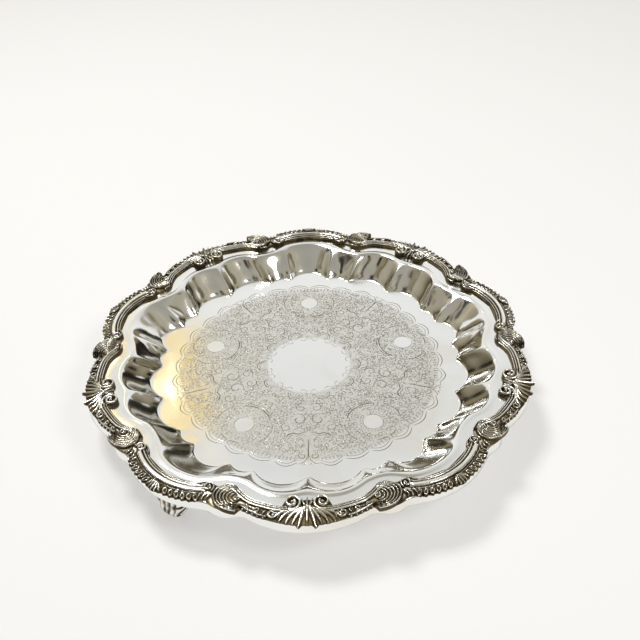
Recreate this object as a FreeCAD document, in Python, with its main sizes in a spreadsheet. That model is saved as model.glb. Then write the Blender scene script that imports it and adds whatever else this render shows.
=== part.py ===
import FreeCAD, Part
import Sketcher
import math
import os

# A footed salver with a scalloped well and an applied border, in millimetres.
# Origin: on the table under the middle of the salver. +Z is up, and one palmette points to -Y.
# The outline has five equal repeats, each mirrored about its palmette. Angles inside a repeat are
# counted from the palmette's axis (0) to the axis of the plain lobe between two palmettes (36).

DIMENSIONS = {
    # The outline's repeats.
    "repeat_count": 5,
    "repeat_angle": 72,
    "first_palmette": -90,
    # The stamped sheet.
    "sheet_gauge": 1.2,
    "floor_height": 20,
    "bouge_height": 27,
    "rim_height": 36.5,
    "apron_edge": 29.5,
    "apron_flare": 0.8,
    "bouge_reach": 0.52,
    # The foot line of the well wall: radii at its cusps and at the bellies between them.
    "floor_cusp": 111.5,
    "floor_flute": 119,
    "floor_neck": 115,
    "floor_lobe": 121,
    # The top line of the well wall.
    "brim_cusp": 133.5,
    "brim_flute": 138,
    "brim_shell": 131.5,
    "brim_corner": 138.5,
    "brim_lobe": 142.5,
    # The outer edge of the rim.
    "edge_lobe": 163,
    "edge_inner_valley": 154.5,
    "edge_shell": 159,
    "edge_outer_valley": 156.5,
    # The border's split lines between two mounts, as angles inside a repeat.
    "palmette_half": 7.2,
    "scroll_end": 16.3,
    "shell_end": 23.8,
    # The border as a whole.
    "border_plate": 1.4,
    "border_height": 5,
    "border_outer": 166.4,
    "leaf_rise": 3.4,
    "reed_bead": 1.1,
    "reed_spacing": 2.4,
    "arc_start": 10,
    "arc_sweep": 42,
    "broad_reed_bead": 2.2,
    # Palmette.
    "palmette_root": 150,
    "palmette_leaf_length": 16.4,
    "palmette_leaf_spread": 6,
    "palmette_heart": 2.2,
    "palmette_leaf_width": 4.2,
    "palmette_leaf_step": 15.5,
    "volute_offset": 9.8,
    "volute_radius": 148,
    "volute_coil": 2.8,
    "volute_wire": 1.3,
    "bud_root": 150,
    "bud_length": 7,
    "bud_width": 2.4,
    "bud_leaf_step": 24,
    # Reeds and foliage beside the palmette follow an arc about a point on its axis.
    "palmette_arc_centre": 93.4,
    "palmette_arc_reed": 61.2,
    "scroll_leaf_arc": 64.4,
    "scroll_leaf_length": 7,
    "scroll_leaf_width": 3.6,
    "scroll_leaf_step": 6.5,
    # Fan shell.
    "shell_angle": 19.4,
    "shell_radius": 151,
    "shell_rib_first": 2.6,
    "shell_rib_step": 1.65,
    "shell_rib_wire": 0.95,
    "shell_dome": 2.4,
    "shell_opening": 100,
    # Reeds and gadroons of the plain lobe follow an arc about a point on its axis.
    "lobe_arc_centre": 106,
    "lobe_inner_reed": 45.8,
    "lobe_broad_reed": 49.6,
    "lobe_gadroon_arc": 56.2,
    "gadroon_length": 5.6,
    "gadroon_width": 3.4,
    "gadroon_pitch": 3.6,
    "lobe_arc_sweep": 72,
    "crest_root": 158,
    "crest_leaf_width": 3,
    "crest_leaf_step": 17,
    "crest_leaf_spacing": 2,
    # Feet.
    "foot_first": -126,
    "foot_spacing": 120,
    "foot_plate_gauge": 1.5,
    "foot_plate_depth": 7,
    "foot_plate_width": 14,
    "foot_knee_height": 20,
    "foot_knee_depth": 9,
    "foot_knee_width": 24,
    "foot_knee_reach": 1.5,
    "foot_ankle_height": 6,
    "foot_ankle_depth": 6,
    "foot_ankle_width": 12,
    "foot_ankle_reach": -1,
    "foot_pad_depth": 9,
    "foot_pad_width": 9,
    "foot_pad_reach": 1,
    "foot_lobe_radius": 154.4,
    "foot_valley_radius": 149.5,
}

PALMETTE_LEAF_COUNT = 9
SHELL_RIB_COUNT = 5
CREST_LEAF_COUNT = 5
GADROONS_EACH_SIDE = 8
SCROLL_LEAF_COUNT = 4

document = FreeCAD.newDocument("Salver")
sheet = document.addObject("Spreadsheet::Sheet", "Dimensions")
for row, (alias, value) in enumerate(DIMENSIONS.items(), start=1):
    sheet.set(f"A{row}", alias)
    sheet.set(f"B{row}", str(value))
    sheet.setAlias(f"B{row}", alias)
document.recompute()


def size(alias):
    """The value of one driving dimension."""
    return float(sheet.get(alias))


def tie(item, path, expression):
    """Tie one property to the sheet. A dimension is written as its alias in square brackets."""
    item.setExpression(path, expression.replace("[", "Dimensions.").replace("]", ""))


def bind(item, **expressions):
    """Tie several properties to the sheet. An underscore in a name stands for a dot."""
    for name, expression in expressions.items():
        tie(item, name.replace("_", "."), expression)


def primitive(kind, name, **expressions):
    item = document.addObject(f"Part::{kind}", name)
    bind(item, **expressions)
    return item


def at(item, x="0", y="0", z="[rim_height]", turn="0"):
    """Place an item by expressions, turned about the vertical."""
    item.Placement = FreeCAD.Placement(FreeCAD.Vector(), FreeCAD.Rotation(FreeCAD.Vector(0, 0, 1), 1))
    bind(item, Placement_Base_x=x, Placement_Base_y=y, Placement_Base_z=z)
    bind(item, Placement_Rotation_Angle=turn)
    return item


# ---- Outlines ----

def outline(name, half_repeat, ends_first, height, growth=0.0):
    """A closed scalloped outline of three-point arcs.

    half_repeat lists (angle, radius) from the palmette's axis to the lobe's axis. Arc ends and arc
    bellies alternate, and ends_first says which comes first. growth is added to every radius.
    """
    half = size("repeat_angle") / 2
    mirrored = [(2 * half - angle, radius) for angle, radius in reversed(half_repeat[1:-1])]
    points = []
    for repeat in range(round(size("repeat_count"))):
        start = size("first_palmette") + repeat * size("repeat_angle")
        for angle, radius in half_repeat + mirrored:
            turn = math.radians(start + angle)
            reach = radius + growth
            points.append(FreeCAD.Vector(reach * math.cos(turn), reach * math.sin(turn), 0))
    first = 0 if ends_first else 1
    edges = []
    for index in range(first, len(points), 2):
        belly = points[(index + 1) % len(points)]
        end = points[(index + 2) % len(points)]
        edges.append(Part.Arc(points[index], belly, end).toShape())
    item = document.addObject("Part::Feature", name)
    item.Shape = Part.Wire(edges)
    bind(item, Placement_Base_z=height)
    return item


def between(lower, upper, share):
    """Points part of the way from one half repeat to another."""
    pairs = zip(lower, upper)
    return [(a + share * (c - a), b + share * (d - b)) for (a, b), (c, d) in pairs]


def loft(name, sections):
    item = document.addObject("Part::Loft", name)
    item.Sections = sections
    item.Solid = True
    return item


def boolean(kind, name, base, tool):
    item = document.addObject(f"Part::{kind}", name)
    item.Base = base
    item.Tool = tool
    return item


def fused(name, shapes):
    item = document.addObject("Part::MultiFuse", name)
    item.Shapes = shapes
    return item


# ---- The stamped sheet ----

def tray_body():
    """Flat floor, fluted well wall, flange and turned-down apron, all one sheet."""
    floor_line = [
        (0, size("floor_cusp")),
        (9, size("floor_flute")),
        (19, size("floor_cusp")),
        (23.5, size("floor_neck")),
        (28, size("floor_cusp")),
        (36, size("floor_lobe")),
    ]
    brim_line = [
        (0, size("brim_cusp")),
        (8.5, size("brim_flute")),
        (16, size("brim_shell")),
        (22, size("brim_shell")),
        (27, size("brim_corner")),
        (36, size("brim_lobe")),
    ]
    edge_line = [
        (0, size("edge_lobe")),
        (15.5, size("edge_inner_valley")),
        (size("shell_angle"), size("edge_shell")),
        (23.5, size("edge_outer_valley")),
        (36, size("edge_lobe")),
    ]
    bouge_line = between(floor_line, brim_line, size("bouge_reach"))
    gauge = size("sheet_gauge")

    def well(name, drop, growth):
        heights = ["[floor_height]", "[bouge_height]", "[rim_height]"]
        lines = [floor_line, bouge_line, brim_line]
        sections = [
            outline(f"{name}_line_{level}", line, True, height + drop, growth)
            for level, (line, height) in enumerate(zip(lines, heights))
        ]
        return loft(name, sections)

    def rim(name, drop, growth_top, growth_bottom):
        top = outline(f"{name}_top", edge_line, False, "[rim_height]" + drop, growth_top)
        bottom = outline(f"{name}_bottom", edge_line, False, "[apron_edge]" + drop, growth_bottom)
        return loft(name, [top, bottom])

    rim_outside = rim("rim_outside", "", 0, size("apron_flare"))
    rim_inside = rim("rim_inside", " - [sheet_gauge]", -gauge, -gauge)
    apron = boolean("Cut", "rim_and_apron", rim_outside, rim_inside)
    pan = boolean("Fuse", "rim_and_pan", apron, well("well_outside", " - [sheet_gauge]", gauge))
    return boolean("Cut", "tray_body", pan, well("well_inside", "", 0))


# ---- The applied border ----

def arc_sector(name, radius, start, sweep, centre, axis="0", height="[border_plate]"):
    """A slice of a disc about a point at a distance along a repeat's axis."""
    item = primitive("Cylinder", name, Radius=radius, Height=height, Angle=sweep)
    return at(item, f"({centre}) * cos({axis})", f"({centre}) * sin({axis})", turn=start)


def arc_plate(name, inner, outer, start, sweep, centre="0", axis="0"):
    """The thin back plate of one mount: a stretch of a ring."""
    whole = arc_sector(f"{name}_disc", outer, start, sweep, centre, axis)
    hole = arc_sector(f"{name}_hole", inner, start, sweep, centre, axis)
    return boolean("Cut", name, whole, hole)


def arc_reed(name, radius, bead, start, sweep, centre, axis="0"):
    """A round reed along an arc about a point on a repeat's axis."""
    item = primitive("Torus", name, Radius1=radius, Radius2=bead, Angle3=sweep)
    z = "[rim_height] + [border_plate]"
    return at(item, f"({centre}) * cos({axis})", f"({centre}) * sin({axis})", z, start)


def leaf(name, length, width, rise, x, y, turn):
    """A pointed half-egg blade that starts at x, y and grows along its turn."""
    item = primitive(
        "Ellipsoid", name, Radius1=rise, Radius2=f"({length}) / 2", Radius3=f"({width}) / 2",
        Angle1="0"
    )
    half = f"({length}) / 2"
    return at(item, f"{x} + {half} * cos({turn})", f"{y} + {half} * sin({turn})", turn=turn)


def cut_to_length(name, shapes, start, end):
    """Trim a mount to its own stretch of the border, flat on the flange."""
    block = primitive(
        "Cylinder", f"{name}_block", Radius="[border_outer]", Height="[border_height]",
        Angle=f"({end}) - ({start})"
    )
    at(block, turn=start)
    return boolean("Common", f"{name}_pattern", block, fused(f"{name}_mass", shapes))


def palmette():
    """A fan of nine blades over a bud with three leaflets and two volutes."""
    shapes = [
        arc_plate("palmette_plate", "[volute_radius] - [volute_coil]", "[edge_lobe] - 4",
                  "-[palmette_half]", "2 * [palmette_half]")
    ]
    middle = PALMETTE_LEAF_COUNT // 2
    for index in range(-middle, middle + 1):
        turn = f"{index} * [palmette_leaf_step]"
        length = f"[palmette_leaf_length] + [palmette_leaf_spread] * {(index / middle) ** 2}"
        rise = "[border_height] - 1"
        name = f"palmette_leaf_{index + middle}"
        x = f"[palmette_root] + [palmette_heart] * cos({turn})"
        y = f"[palmette_heart] * sin({turn})"
        length += " - [palmette_heart]"
        shapes.append(leaf(name, length, "[palmette_leaf_width]", rise, x, y, turn))
    for index in (-1, 0, 1):
        name = f"palmette_bud_{index + 1}"
        turn = f"180 + {index} * [bud_leaf_step]"
        shapes.append(leaf(name, "[bud_length]", "[bud_width]", "[leaf_rise]", "[bud_root]", "0", turn))
    for side in (-1, 1):
        coil = primitive("Torus", f"palmette_volute_{side + 1}", Radius1="[volute_coil]",
                         Radius2="[volute_wire]")
        at(coil, "[volute_radius]", f"{side} * [volute_offset]", "[rim_height] + [border_plate]")
        eye = primitive("Sphere", f"palmette_eye_{side + 1}", Radius="[volute_wire] * 1.5")
        at(eye, "[volute_radius]", f"{side} * [volute_offset]", "[rim_height] + [border_plate]")
        shapes += [coil, eye]
    return cut_to_length("palmette", shapes, "-[palmette_half]", "[palmette_half]")


def s_scroll_border():
    """Two reeds and a row of foliage along the lobe that the palmette crowns."""
    centre = "[palmette_arc_centre]"
    shapes = [
        arc_plate("scroll_plate", "[palmette_arc_reed] - 2 * [reed_spacing]", "[scroll_leaf_arc] + 2",
                  "[arc_start]", "[arc_sweep]", centre),
        arc_reed("scroll_outer_reed", "[palmette_arc_reed]", "[reed_bead]", "[arc_start]",
                 "[arc_sweep]", centre),
        arc_reed("scroll_inner_reed", "[palmette_arc_reed] - [reed_spacing]", "[reed_bead]",
                 "[arc_start]", "[arc_sweep]", centre),
    ]
    for index in range(SCROLL_LEAF_COUNT):
        turn = f"2 * [arc_start] + {index} * [scroll_leaf_step]"
        x = f"{centre} + ([scroll_leaf_arc] - 2) * cos({turn})"
        y = f"([scroll_leaf_arc] - 2) * sin({turn})"
        name = f"scroll_leaf_{index + 1}"
        shapes.append(
            leaf(name, "[scroll_leaf_length]", "[scroll_leaf_width]", "[leaf_rise]", x, y, turn)
        )
    return cut_to_length("s_scroll_border", shapes, "[palmette_half]", "[scroll_end]")


def fan_shell():
    """Nested crescent ribs on a low dome, open towards the palmette."""
    x = "[shell_radius] * cos([shell_angle])"
    y = "[shell_radius] * sin([shell_angle])"
    largest = f"([shell_rib_first] + {SHELL_RIB_COUNT - 1} * [shell_rib_step])"
    dome = primitive("Cone", "shell_dome_form", Radius1=f"{largest} + [shell_rib_wire]",
                     Radius2="[shell_rib_first]", Height="[shell_dome]")
    shapes = [at(dome, x, y)]
    for index in range(SHELL_RIB_COUNT):
        share = 1 - index / SHELL_RIB_COUNT
        rib = primitive(
            "Torus", f"shell_rib_{index + 1}", Radius1=f"[shell_rib_first] + {index} * [shell_rib_step]",
            Radius2="[shell_rib_wire]", Angle3="360 - [shell_opening]"
        )
        z = f"[rim_height] + [shell_dome] * {share} + [shell_rib_wire] / 2"
        turn = "[shell_angle] - 90 + [shell_opening] / 2"
        shapes.append(at(rib, x, y, z, turn))
    return cut_to_length("fan_shell", shapes, "[scroll_end]", "[shell_end]")


def lobe_border():
    """Two reeds, a row of gadroons and a fluted crest along the plain lobe."""
    centre = "[lobe_arc_centre]"
    axis = "[repeat_angle] / 2"
    start = f"{axis} - [lobe_arc_sweep] / 2"
    sweep = "[lobe_arc_sweep]"
    shapes = [
        arc_plate("lobe_plate", "[lobe_inner_reed] - [reed_bead]", "[lobe_gadroon_arc] + [reed_bead]",
                  start, sweep, centre, axis),
        arc_reed("lobe_inner_bead", "[lobe_inner_reed]", "[reed_bead]", start, sweep, centre, axis),
        arc_reed("lobe_broad_bead", "[lobe_broad_reed]", "[broad_reed_bead]", start, sweep, centre,
                 axis),
    ]
    for index in range(-GADROONS_EACH_SIDE, GADROONS_EACH_SIDE + 1):
        turn = f"{axis} + {index} * [gadroon_pitch] / [lobe_gadroon_arc] * 180 / pi"
        reach = "([lobe_gadroon_arc] - [gadroon_length] / 2)"
        x = f"{centre} * cos({axis}) + {reach} * cos({turn})"
        y = f"{centre} * sin({axis}) + {reach} * sin({turn})"
        name = f"gadroon_{index + GADROONS_EACH_SIDE + 1}"
        shapes.append(leaf(name, "[gadroon_length]", "[gadroon_width]", "[leaf_rise]", x, y, turn))
    middle = CREST_LEAF_COUNT // 2
    for index in range(-middle, middle + 1):
        turn = f"{axis} + {index} * [crest_leaf_step]"
        shift = f"{index} * [crest_leaf_spacing]"
        x = f"[crest_root] * cos({axis}) - {shift} * sin({axis})"
        y = f"[crest_root] * sin({axis}) + {shift} * cos({axis})"
        name = f"crest_leaf_{index + middle + 1}"
        length = "[border_outer] - [crest_root]"
        shapes.append(leaf(name, length, "[crest_leaf_width]", "[border_height] - 1", x, y, turn))
    return cut_to_length("lobe_border", shapes, "[shell_end]", "[repeat_angle] - [shell_end]")


# ---- The feet ----

def section(body, name, height, depth, width, reach="0"):
    """A rectangle across a foot, at a height and set outwards by its reach."""
    sketch = body.newObject("Sketcher::SketchObject", name)
    plane = [item for item in body.Origin.OriginFeatures if item.Role == "XY_Plane"][0]
    sketch.AttachmentSupport = (plane, [""])
    sketch.MapMode = "FlatFace"
    bind(sketch, AttachmentOffset_Base_z=height, AttachmentOffset_Base_x=reach)
    corners = [FreeCAD.Vector(x, y, 0) for x, y in ((-3, -5), (3, -5), (3, 5), (-3, 5))]
    for index in range(4):
        sketch.addGeometry(Part.LineSegment(corners[index], corners[(index + 1) % 4]), False)
    for index in range(4):
        sketch.addConstraint(Sketcher.Constraint("Coincident", index, 2, (index + 1) % 4, 1))
    for index in (0, 2):
        sketch.addConstraint(Sketcher.Constraint("Horizontal", index))
        sketch.addConstraint(Sketcher.Constraint("Vertical", index + 1))
    sketch.addConstraint(Sketcher.Constraint("Symmetric", 0, 1, 2, 1, -1, 1))
    sketch.addConstraint(Sketcher.Constraint("DistanceX", 0, 1, 0, 2, 6))
    sketch.renameConstraint(sketch.ConstraintCount - 1, "depth")
    sketch.addConstraint(Sketcher.Constraint("DistanceY", 1, 1, 1, 2, 10))
    sketch.renameConstraint(sketch.ConstraintCount - 1, "width")
    bind(sketch, Constraints_depth=depth, Constraints_width=width)
    return sketch


def foot():
    """A scroll leg: wide under the rim, waisted at the ankle, with a flat pad on the table."""
    body = document.addObject("PartDesign::Body", "foot_pattern")
    top = "[rim_height] - [sheet_gauge] - [foot_plate_gauge]"
    top_section = section(body, "foot_top", top, "[foot_plate_depth]", "[foot_plate_width]")
    knee = section(body, "foot_knee", "[foot_knee_height]", "[foot_knee_depth]", "[foot_knee_width]",
                   "[foot_knee_reach]")
    ankle = section(body, "foot_ankle", "[foot_ankle_height]", "[foot_ankle_depth]",
                    "[foot_ankle_width]", "[foot_ankle_reach]")
    pad = section(body, "foot_pad", "0", "[foot_pad_depth]", "[foot_pad_width]", "[foot_pad_reach]")
    leg = body.newObject("PartDesign::AdditiveLoft", "foot_leg")
    leg.Profile = top_section
    leg.Sections = [knee, ankle, pad]
    return body


def foot_plate():
    """The small plate between a foot and the sheet."""
    body = document.addObject("PartDesign::Body", "foot_plate_pattern")
    underside = "[rim_height] - [sheet_gauge] - [foot_plate_gauge]"
    rectangle = section(body, "foot_plate_outline", underside, "[foot_plate_depth]",
                        "[foot_plate_width]")
    plate = body.newObject("PartDesign::Pad", "foot_plate_pad")
    plate.Profile = rectangle
    bind(plate, Length="[foot_plate_gauge]")
    return body


# ---- Placing the pieces ----

def copy(name, pattern, turn, reach="0"):
    """One piece: a copy of its pattern, turned about the middle and set out by its reach."""
    item = document.addObject("Part::Compound", name)
    item.Links = [pattern]
    return at(item, f"({reach}) * cos({turn})", f"({reach}) * sin({turn})", "0", turn)


def mirrored(name, pattern):
    item = document.addObject("Part::Mirroring", name)
    item.Source = pattern
    item.Normal = FreeCAD.Vector(0, 1, 0)
    return item


pieces = [tray_body()]
palmette_pattern = palmette()
scroll_pattern = s_scroll_border()
shell_pattern = fan_shell()
lobe_pattern = lobe_border()
scroll_mirror = mirrored("s_scroll_border_mirror", scroll_pattern)
shell_mirror = mirrored("fan_shell_mirror", shell_pattern)
for repeat in range(DIMENSIONS["repeat_count"]):
    turn = f"[first_palmette] + {repeat} * [repeat_angle]"
    number = repeat + 1
    pieces += [
        copy(f"palmette_{number}", palmette_pattern, turn),
        copy(f"lobe_border_{number}", lobe_pattern, turn),
        copy(f"s_scroll_border_{number}_right", scroll_pattern, turn),
        copy(f"s_scroll_border_{number}_left", scroll_mirror, turn),
        copy(f"fan_shell_{number}_right", shell_pattern, turn),
        copy(f"fan_shell_{number}_left", shell_mirror, turn),
    ]

foot_shape = foot()
plate_shape = foot_plate()
for number, reach in enumerate(("[foot_lobe_radius]", "[foot_valley_radius]", "[foot_valley_radius]"), 1):
    turn = f"[foot_first] + {number - 1} * [foot_spacing]"
    pieces += [
        copy(f"foot_{number}", foot_shape, turn, reach),
        copy(f"foot_plate_{number}", plate_shape, turn, reach),
    ]

document.recompute()

for item in document.Objects:
    for trouble in ("Invalid", "Error"):
        if trouble in item.State:
            raise SystemExit(f"{item.Name} failed: {item.State}")
    if item.TypeId == "Part::MultiFuse":
        largest = max(shape.Shape.Volume for shape in item.Shapes)
        if item.Shape.Volume < largest * 1.02:
            raise SystemExit(f"{item.Name} lost some of its shapes")

os.makedirs("parts", exist_ok=True)
for piece in pieces:
    if piece.Shape.isNull() or not piece.Shape.isValid() or len(piece.Shape.Solids) != 1:
        raise SystemExit(f"{piece.Label} has no single valid solid")
    piece.Shape.exportStep(f"parts/{piece.Label}.step")
    box = piece.Shape.BoundBox
    print(f"{piece.Label}: {piece.Shape.Volume:.0f} mm3, z {box.ZMin:.2f} to {box.ZMax:.2f}")
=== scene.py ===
import bpy
import bmesh
import math
import numpy as np
from mathutils import Matrix, Vector
from mathutils.geometry import delaunay_2d_cdt

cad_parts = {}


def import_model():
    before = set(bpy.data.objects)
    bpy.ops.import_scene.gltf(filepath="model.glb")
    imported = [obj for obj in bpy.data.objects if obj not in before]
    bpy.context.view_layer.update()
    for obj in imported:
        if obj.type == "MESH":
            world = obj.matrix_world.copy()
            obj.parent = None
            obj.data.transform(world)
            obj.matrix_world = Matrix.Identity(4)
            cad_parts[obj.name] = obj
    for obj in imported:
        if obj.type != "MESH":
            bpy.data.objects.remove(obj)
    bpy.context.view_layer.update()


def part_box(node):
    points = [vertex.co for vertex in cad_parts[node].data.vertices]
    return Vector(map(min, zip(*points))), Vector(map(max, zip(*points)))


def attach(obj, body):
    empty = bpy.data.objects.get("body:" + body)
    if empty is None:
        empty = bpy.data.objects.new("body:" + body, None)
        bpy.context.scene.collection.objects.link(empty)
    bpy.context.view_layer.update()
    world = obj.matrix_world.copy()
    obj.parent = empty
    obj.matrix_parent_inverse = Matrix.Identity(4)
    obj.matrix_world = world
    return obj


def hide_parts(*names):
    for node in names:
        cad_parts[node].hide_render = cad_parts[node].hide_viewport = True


# A footed silver salver. Lengths are in millimetres until a mesh is made.
# The outline has five repeats, each mirrored about its palmette. Inside half a repeat, angles run
# from the palmette's axis (0) to the axis of the plain lobe (36).

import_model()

MM = 0.001
REPEATS = 5
LOBE_AXIS = 36.0
FIRST_PALMETTE = -90.0
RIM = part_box("palmette_1")[0].z / MM
GAUGE = 1.2
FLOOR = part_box("tray_body")[0].z / MM + GAUGE
APRON_EDGE = 29.5
APRON_FLARE = 0.8

# Places where one border mount ends and the next begins.
PALMETTE_END = 7.2
SCROLL_END = 16.3
SHELL_END = 23.8


# ---------------------------------------------------------------- camera and stage

def camera():
    """A hand-held view from above the front edge, rolled a little."""
    place = Vector((15.2, -469.6, 412.8 + FLOOR)) * MM
    forward = Vector((-0.0096, 0.7853, -0.6190)).normalized()
    right = Vector((0.9997, -0.0072, -0.0246))
    right = (right - forward * right.dot(forward)).normalized()
    up = right.cross(forward)
    data = bpy.data.cameras.new("camera")
    data.lens = 46.16
    data.sensor_width = 36
    data.clip_start = 0.01
    item = bpy.data.objects.new("camera", data)
    axes = Matrix((right, up, -forward)).transposed()
    item.matrix_world = Matrix.Translation(place) @ axes.to_4x4()
    bpy.context.collection.objects.link(item)
    bpy.context.scene.camera = item


def emission_material(name, colour, strength):
    material = bpy.data.materials.new(name)
    material.use_nodes = True
    tree = material.node_tree
    tree.nodes.clear()
    glow = tree.nodes.new("ShaderNodeEmission")
    glow.inputs["Color"].default_value = (*colour, 1)
    glow.inputs["Strength"].default_value = strength
    output = tree.nodes.new("ShaderNodeOutputMaterial")
    tree.links.new(glow.outputs[0], output.inputs["Surface"])
    return material


def card(name, azimuth, elevation, width, height, colour, strength, distance=1.6):
    """A studio card that only shows in the metal's reflections."""
    bpy.ops.mesh.primitive_plane_add(size=1)
    item = bpy.context.object
    item.name = name
    turn, rise = math.radians(azimuth), math.radians(elevation)
    away = Vector((math.cos(turn) * math.cos(rise), math.sin(turn) * math.cos(rise), math.sin(rise)))
    item.scale = (width, height, 1)
    item.location = away * distance
    item.rotation_euler = away.to_track_quat("Z", "Y").to_euler()
    item.data.materials.append(emission_material(name, colour, strength))
    item.visible_camera = False
    item.visible_diffuse = False
    item.visible_shadow = False


def floor():
    """A plain pale floor."""
    bpy.ops.mesh.primitive_plane_add(size=9)
    item = bpy.context.object
    item.name = "floor"
    material = bpy.data.materials.new("pale_floor")
    material.use_nodes = True
    shader = material.node_tree.nodes["Principled BSDF"]
    shader.inputs["Base Color"].default_value = (0.62, 0.62, 0.62, 1)
    shader.inputs["Roughness"].default_value = 0.9
    shader.inputs["Specular IOR Level"].default_value = 0.1
    shader.inputs["Emission Color"].default_value = (1, 1, 1, 1)
    shader.inputs["Emission Strength"].default_value = 0.40
    item.data.materials.append(material)


def soft_light(name, place, aim, size, energy, colour=(1, 1, 1)):
    data = bpy.data.lights.new(name, "AREA")
    data.shape = "DISK"
    data.size = size
    data.energy = energy
    data.color = colour
    item = bpy.data.objects.new(name, data)
    item.location = place
    item.rotation_euler = (Vector(place) - Vector(aim)).to_track_quat("Z", "Y").to_euler()
    bpy.context.collection.objects.link(item)


def world():
    """Soft light from all round: bright above, darker and warmer towards the horizon."""
    item = bpy.data.worlds.new("studio")
    bpy.context.scene.world = item
    item.use_nodes = True
    nodes = item.node_tree.nodes
    links = item.node_tree.links
    nodes.clear()
    coordinates = nodes.new("ShaderNodeTexCoord")
    split = nodes.new("ShaderNodeSeparateXYZ")
    ramp = nodes.new("ShaderNodeValToRGB")
    ramp.color_ramp.elements[0].position = 0.0
    ramp.color_ramp.elements[0].color = (0.06, 0.052, 0.036, 1)
    ramp.color_ramp.elements[1].position = 1.0
    ramp.color_ramp.elements[1].color = (0.34, 0.33, 0.30, 1)
    for height, colour in ((0.3, (0.11, 0.09, 0.05, 1)), (0.5, (0.33, 0.295, 0.21, 1)),
                           (0.8, (0.44, 0.415, 0.34, 1))):
        ramp.color_ramp.elements.new(height).color = colour
    background = nodes.new("ShaderNodeBackground")
    background.inputs["Strength"].default_value = 1.0
    output = nodes.new("ShaderNodeOutputWorld")
    links.new(coordinates.outputs["Generated"], split.inputs[0])
    links.new(split.outputs["Z"], ramp.inputs["Fac"])
    links.new(ramp.outputs["Color"], background.inputs["Color"])
    links.new(background.outputs[0], output.inputs["Surface"])


def studio():
    """A white wall behind, which the flat floor mirrors, and a darker, warmer room all round."""
    bpy.context.scene.view_settings.view_transform = "Standard"
    world()
    floor()
    soft_light("key", (-0.5, 0.5, 1.6), (0, 0, 0), 0.5, 14)
    soft_light("fill", (0.9, -0.6, 1.3), (0, 0, 0), 0.5, 6, (0.95, 0.97, 1.0))
    for index in range(12):
        share = index / 11
        card(f"white_wall_{index}", 90, 27 + 3.2 * index, 2.4, 0.105, (0.95, 0.955, 0.95),
             1.06 - 0.34 * share, 1.7)
    card("lamp_glow", 110.5, 41, 0.22, 0.30, (1.0, 0.80, 0.42), 1.05, 1.55)
    card("lamp", 112, 42, 0.06, 0.06, (1.0, 0.90, 0.66), 7.0, 1.5)
    dice = np.random.default_rng(4)
    colours = [(0.010, 0.009, 0.007), (0.014, 0.012, 0.009), (0.15, 0.12, 0.045), (0.09, 0.06, 0.03),
               (0.85, 0.90, 0.95), (0.24, 0.20, 0.115), (0.012, 0.012, 0.012), (0.52, 0.45, 0.31)]
    for index in range(44):
        azimuth = index * 360 / 22 + dice.uniform(-5, 5)
        low = index < 22
        elevation = dice.uniform(5, 22) if low else dice.uniform(30, 62)
        if low or abs((azimuth % 360) - 90) > 50:
            card(f"room_{index}", azimuth, elevation, dice.uniform(0.16, 0.42), dice.uniform(0.18, 0.5),
                 colours[dice.integers(len(colours))], 1.0, 1.6 + 0.01 * index)


# ---------------------------------------------------------------- outlines

def circle_through(a, b, c):
    """Centre and radius of the circle through three points."""
    matrix = np.array([b - a, c - b])
    values = np.array([np.dot(b - a, b + a), np.dot(c - b, c + b)]) / 2
    centre = np.linalg.solve(matrix, values)
    return centre, np.hypot(*(a - centre))


def polar(radius, angle):
    turn = np.radians(angle)
    return np.stack([radius * np.cos(turn), radius * np.sin(turn)], axis=-1)


def scalloped(half_repeat, ends_first, angle):
    """Radius at each angle, 0 to 36, of an outline of three-point arcs."""
    first = half_repeat[1]
    last = half_repeat[-2]
    points = [(-first[0], first[1])] + half_repeat + [(2 * LOBE_AXIS - last[0], last[1])]
    radius = np.zeros_like(angle)
    for index in range(1 if ends_first else 0, len(points) - 2, 2):
        start, belly, end = (polar(r, a) for a, r in points[index:index + 3])
        centre, reach = circle_through(start, belly, end)
        inside = (angle >= points[index][0] - 1e-9) & (angle <= points[index + 2][0] + 1e-9)
        direction = polar(1.0, angle[inside])
        along = direction @ centre
        root = np.sqrt(along ** 2 - centre @ centre + reach ** 2)
        near = points[index + 1][1]
        choices = np.stack([along - root, along + root])
        pick = np.abs(choices - near).argmin(axis=0)
        radius[inside] = np.take_along_axis(choices, pick[None], 0)[0]
    return radius


FLOOR_LINE = [(0, 111.5), (9, 119), (19, 111.5), (23.5, 115), (28, 111.5), (36, 121)]
BRIM_LINE = [(0, 133.5), (8.5, 138), (16, 131.5), (22, 131.5), (27, 138.5), (36, 142.5)]
EDGE_LINE = [(0, 163), (15.5, 154.5), (19.4, 159), (23.5, 156.5), (36, 163)]
EDGE_GUIDE = [0, 8, 15.5, 19.4, 23.5, 36]
FLUTES = [(0, 0), (3, 0.75), (9, 1), (15.5, 0.7), (19, 0), (20.8, 0.55), (23.5, 0.8), (26, 0.55),
          (28, 0), (30.5, 0.75), (36, 1)]


def around(half):
    """Mirror values sampled from 0 to 36 and repeat them round the whole turn."""
    repeat = np.concatenate([half, half[-2:0:-1]])
    return np.tile(repeat, REPEATS)


def softened(values, passes):
    """Round the cusps of a closed line."""
    for _ in range(passes):
        values = (np.roll(values, 1) + 2 * values + np.roll(values, -1)) / 4
    return values


def new_object(name, vertices, faces, material):
    """A mesh piece from millimetre vertices."""
    mesh = bpy.data.meshes.new(name)
    mesh.from_pydata((np.asarray(vertices) * MM).tolist(), [], faces)
    mesh.update()
    item = bpy.data.objects.new(name, mesh)
    bpy.context.collection.objects.link(item)
    mesh.materials.append(material)
    mesh.shade_smooth()
    return item


# ---------------------------------------------------------------- engraving

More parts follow.
